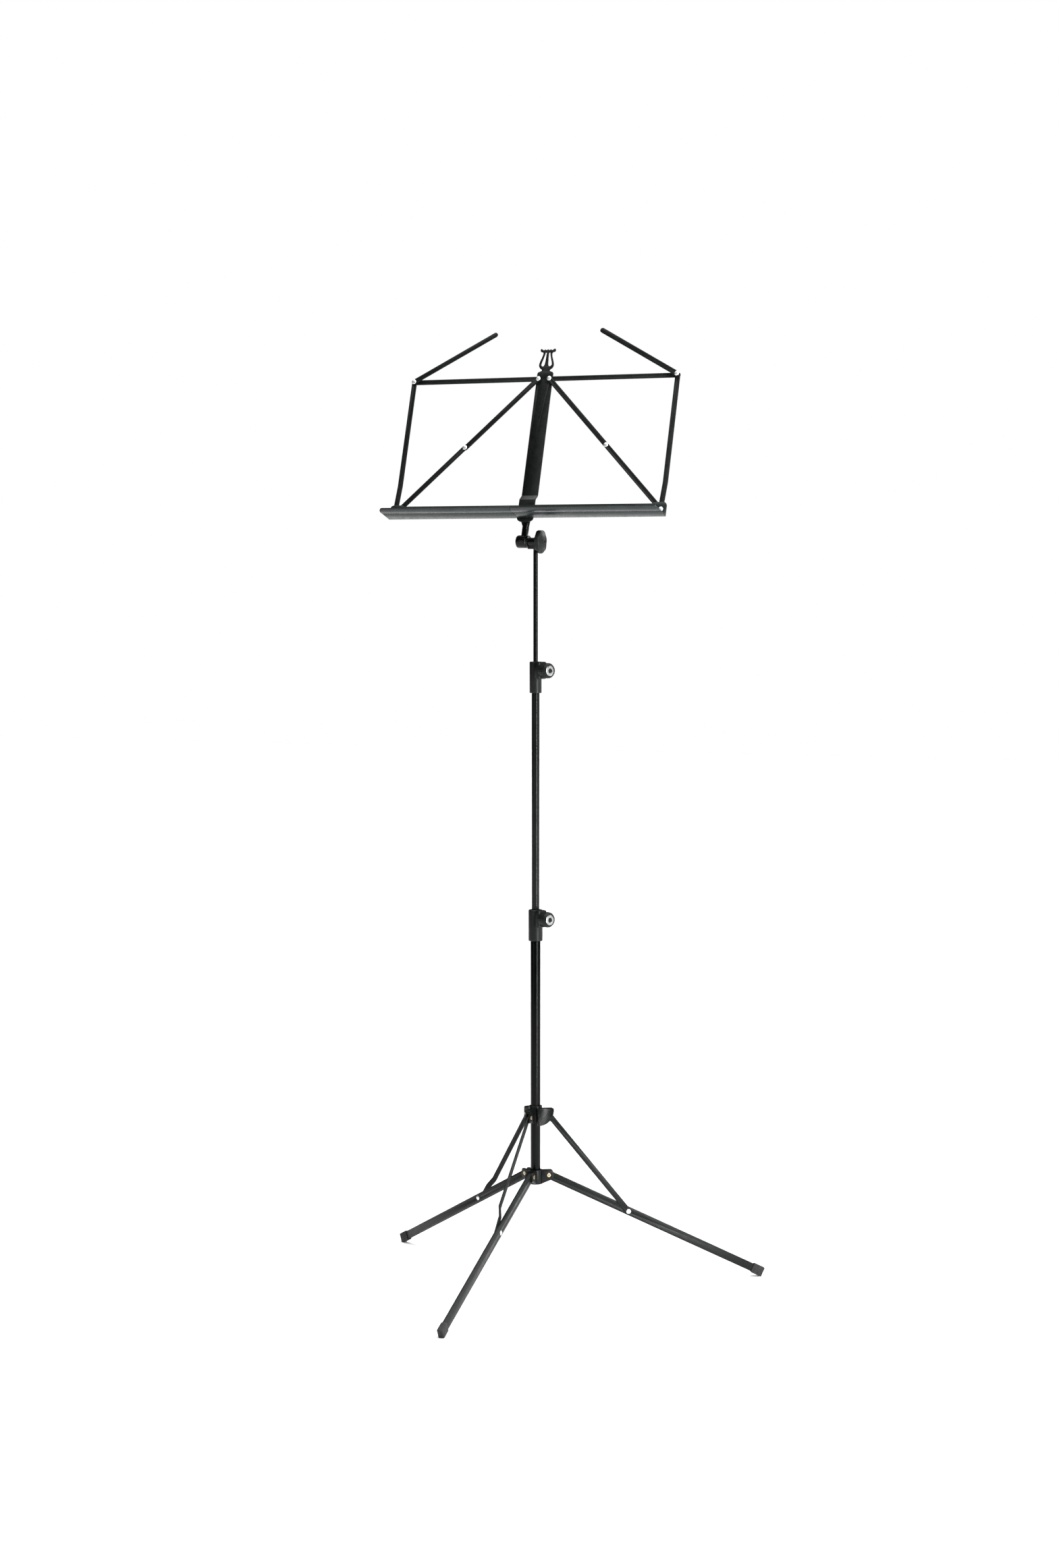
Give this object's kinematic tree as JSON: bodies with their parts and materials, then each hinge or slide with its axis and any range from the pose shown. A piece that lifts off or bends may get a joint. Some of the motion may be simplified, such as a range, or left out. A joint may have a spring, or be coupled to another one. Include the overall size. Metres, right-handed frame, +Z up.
{
  "type": "music stand",
  "caption": "Folding music stand: flat-bar desk with a split folding tray and swinging page arms, tilting on a telescopic tube column over a folding tripod.",
  "frame": {"origin": "middle of the footprint on the floor", "axes": "+Z up; the desk faces -Y and its width runs along X"},
  "size_m": [0.6448, 0.5586, 1.5097],
  "materials": {
    "powder_coat": "fine-textured black powder coat, semi-matt",
    "plastic": "black moulded plastic, semi-matt",
    "rubber": "black moulded rubber, matt",
    "rivet_steel": "bright plated steel",
    "eyelet_brass": "rolled brass eyelet, slightly dull"
  },
  "bodies": {
    "base": {"lower_tube": "powder_coat", "leg_hub": "powder_coat", "lower_clamp": "plastic", "hub_pin_front": "eyelet_brass", "hub_pin_right": "eyelet_brass", "hub_pin_left": "eyelet_brass"},
    "leg_front": {"leg_front": "powder_coat", "foot_front": "rubber", "leg_rivet_front": "rivet_steel"},
    "leg_right": {"leg_right": "powder_coat", "foot_right": "rubber", "leg_rivet_right": "rivet_steel"},
    "leg_left": {"leg_left": "powder_coat", "foot_left": "rubber", "leg_rivet_left": "rivet_steel"},
    "collar": {"collar": "plastic", "collar_pin_front": "eyelet_brass", "collar_pin_right": "eyelet_brass", "collar_pin_left": "eyelet_brass"},
    "release_lever": {"release_lever": "plastic"},
    "brace_front": {"brace_front": "powder_coat", "brace_rivet_front": "rivet_steel"},
    "brace_right": {"brace_right": "powder_coat", "brace_rivet_right": "rivet_steel"},
    "brace_left": {"brace_left": "powder_coat", "brace_rivet_left": "rivet_steel"},
    "lower_knob": {"lower_clamp_knob": "plastic"},
    "middle": {"middle_tube": "powder_coat", "middle_bush": "plastic", "upper_clamp": "plastic"},
    "upper_knob": {"upper_clamp_knob": "plastic"},
    "rod_bush": {"rod_bush": "plastic"},
    "rod": {"upper_rod": "powder_coat", "tilt_socket": "powder_coat", "tilt_bolt": "rivet_steel"},
    "tilt_knob": {"tilt_knob": "plastic"},
    "desk": {"desk_stem": "powder_coat", "centre_bar": "powder_coat", "head_rivet_right": "rivet_steel", "head_rivet_left": "rivet_steel", "tray_pivot_right": "powder_coat", "tray_pivot_left": "powder_coat"},
    "tray_right": {"tray_right": "powder_coat", "tray_end_rivet_right": "rivet_steel"},
    "side_bar_right": {"side_bar_right": "powder_coat", "corner_rivet_right": "rivet_steel"},
    "top_arm_right": {"top_arm_right": "powder_coat"},
    "upper_link_right": {"upper_link_right": "powder_coat"},
    "lower_link_right": {"lower_link_right": "powder_coat", "knee_rivet_right": "rivet_steel"},
    "page_arm_right": {"page_arm_right": "powder_coat"},
    "tray_left": {"tray_left": "powder_coat", "tray_end_rivet_left": "rivet_steel"},
    "side_bar_left": {"side_bar_left": "powder_coat", "corner_rivet_left": "rivet_steel"},
    "top_arm_left": {"top_arm_left": "powder_coat"},
    "upper_link_left": {"upper_link_left": "powder_coat"},
    "lower_link_left": {"lower_link_left": "powder_coat", "knee_rivet_left": "rivet_steel"},
    "page_arm_left": {"page_arm_left": "powder_coat"}
  },
  "joints": [
    {"name": "collar_slide", "type": "slide", "parent": "base", "child": "collar", "axis": [0, 0, 1], "range_m": [0, 0.2484]},
    {"name": "leg_fold_front", "type": "hinge", "parent": "base", "child": "leg_front", "pos_m": [0, 0.07003, 0.17412], "axis": [-1, 0, 0], "range_deg": [0, 113]},
    {"name": "brace_fold_front", "type": "hinge", "parent": "collar", "child": "brace_front", "pos_m": [0, 0.06853, 0.26882], "axis": [1, 0, 0], "range_deg": [0, 37.5]},
    {"name": "leg_fold_right", "type": "hinge", "parent": "base", "child": "leg_right", "pos_m": [0.01784, 0.10093, 0.17412], "axis": [0.5, -0.866, 0], "range_deg": [0, 113]},
    {"name": "brace_fold_right", "type": "hinge", "parent": "collar", "child": "brace_right", "pos_m": [0.01914, 0.10168, 0.26882], "axis": [-0.5, 0.866, 0], "range_deg": [0, 37.5]},
    {"name": "leg_fold_left", "type": "hinge", "parent": "base", "child": "leg_left", "pos_m": [-0.01784, 0.10093, 0.17412], "axis": [0.5, 0.866, 0], "range_deg": [0, 113]},
    {"name": "brace_fold_left", "type": "hinge", "parent": "collar", "child": "brace_left", "pos_m": [-0.01914, 0.10168, 0.26882], "axis": [-0.5, -0.866, 0], "range_deg": [0, 37.5]},
    {"name": "lever_press", "type": "hinge", "parent": "collar", "child": "release_lever", "pos_m": [0.00836, 0.08067, 0.27952], "axis": [0.766, 0.6428, 0], "range_deg": [-12, 0], "stiffness_Nm_per_rad": 0.5},
    {"name": "lower_knob_turn", "type": "hinge", "parent": "base", "child": "lower_knob", "pos_m": [0, 0.09063, 0.58232], "axis": [0.8988, -0.4384, 0], "range_deg": [0, 360]},
    {"name": "middle_slide", "type": "slide", "parent": "base", "child": "middle", "axis": [0, 0, 1], "range_m": [-0.333, 0.03]},
    {"name": "upper_knob_turn", "type": "hinge", "parent": "middle", "child": "upper_knob", "pos_m": [0, 0.09063, 0.97232], "axis": [0.8988, -0.4384, 0], "range_deg": [0, 360]},
    {"name": "rod_slide", "type": "slide", "parent": "middle", "child": "rod_bush", "axis": [0, 0, 1], "range_m": [-0.15, 0.15]},
    {"name": "rod_swivel", "type": "hinge", "parent": "rod_bush", "child": "rod", "pos_m": [0, 0.09063, 0.95], "axis": [0, 0, 1], "continuous": true},
    {"name": "tilt", "type": "hinge", "parent": "rod", "child": "desk", "pos_m": [0, 0.09063, 1.17302], "axis": [-1, 0, 0], "range_deg": [-18, 72]},
    {"name": "tilt_knob_turn", "type": "hinge", "parent": "rod", "child": "tilt_knob", "pos_m": [0.004, 0.09063, 1.17302], "axis": [1, 0, 0], "range_deg": [0, 360]},
    {"name": "tray_fold_right", "type": "hinge", "parent": "desk", "child": "tray_right", "pos_m": [-0.0105, 0.10561, 1.21831], "axis": [0, -0.9494, 0.314], "range_deg": [0, 90]},
    {"name": "side_bar_turn_right", "type": "hinge", "parent": "tray_right", "child": "side_bar_right", "pos_m": [0.205, 0.10561, 1.21831], "axis": [0, -0.9494, 0.314], "range_deg": [-90, 0]},
    {"name": "top_arm_turn_right", "type": "hinge", "parent": "desk", "child": "top_arm_right", "pos_m": [-0.0105, 0.17579, 1.43051], "axis": [0, -0.9494, 0.314], "range_deg": [0, 90]},
    {"name": "upper_link_turn_right", "type": "hinge", "parent": "desk", "child": "upper_link_right", "pos_m": [-0.0105, 0.17579, 1.43051], "axis": [0, -0.9494, 0.314], "range_deg": [-44, 0]},
    {"name": "lower_link_turn_right", "type": "hinge", "parent": "tray_right", "child": "lower_link_right", "pos_m": [0.205, 0.10561, 1.21831], "axis": [0, -0.9494, 0.314], "range_deg": [0, 46.1]},
    {"name": "page_arm_turn_right", "type": "hinge", "parent": "side_bar_right", "child": "page_arm_right", "pos_m": [0.205, 0.17579, 1.43051], "axis": [0, -0.9494, 0.314], "range_deg": [-240, 50]},
    {"name": "tray_fold_left", "type": "hinge", "parent": "desk", "child": "tray_left", "pos_m": [-0.0291, 0.10561, 1.21831], "axis": [0, -0.9494, 0.314], "range_deg": [-90, 0]},
    {"name": "side_bar_turn_left", "type": "hinge", "parent": "tray_left", "child": "side_bar_left", "pos_m": [-0.2446, 0.10561, 1.21831], "axis": [0, -0.9494, 0.314], "range_deg": [0, 90]},
    {"name": "top_arm_turn_left", "type": "hinge", "parent": "desk", "child": "top_arm_left", "pos_m": [-0.0291, 0.17579, 1.43051], "axis": [0, -0.9494, 0.314], "range_deg": [-90, 0]},
    {"name": "upper_link_turn_left", "type": "hinge", "parent": "desk", "child": "upper_link_left", "pos_m": [-0.0291, 0.17579, 1.43051], "axis": [0, -0.9494, 0.314], "range_deg": [0, 44]},
    {"name": "lower_link_turn_left", "type": "hinge", "parent": "tray_left", "child": "lower_link_left", "pos_m": [-0.2446, 0.10561, 1.21831], "axis": [0, -0.9494, 0.314], "range_deg": [-46.1, 0]},
    {"name": "page_arm_turn_left", "type": "hinge", "parent": "side_bar_left", "child": "page_arm_left", "pos_m": [-0.2446, 0.17579, 1.43051], "axis": [0, -0.9494, 0.314], "range_deg": [-50, 240]}
  ],
  "couplings": [
    {"joint": "leg_fold_front", "follows": "collar_slide", "rad_per_m": 7.9278},
    {"joint": "brace_fold_front", "follows": "collar_slide", "rad_per_m": 2.6152},
    {"joint": "leg_fold_right", "follows": "collar_slide", "rad_per_m": 7.9278},
    {"joint": "brace_fold_right", "follows": "collar_slide", "rad_per_m": 2.6152},
    {"joint": "leg_fold_left", "follows": "collar_slide", "rad_per_m": 7.9278},
    {"joint": "brace_fold_left", "follows": "collar_slide", "rad_per_m": 2.6152},
    {"joint": "side_bar_turn_right", "follows": "tray_fold_right", "ratio": -1},
    {"joint": "top_arm_turn_right", "follows": "tray_fold_right", "ratio": 1},
    {"joint": "upper_link_turn_right", "follows": "tray_fold_right", "ratio": -0.4884},
    {"joint": "lower_link_turn_right", "follows": "tray_fold_right", "ratio": 0.5116},
    {"joint": "side_bar_turn_left", "follows": "tray_fold_left", "ratio": -1},
    {"joint": "top_arm_turn_left", "follows": "tray_fold_left", "ratio": 1},
    {"joint": "upper_link_turn_left", "follows": "tray_fold_left", "ratio": -0.4884},
    {"joint": "lower_link_turn_left", "follows": "tray_fold_left", "ratio": 0.5116}
  ]
}
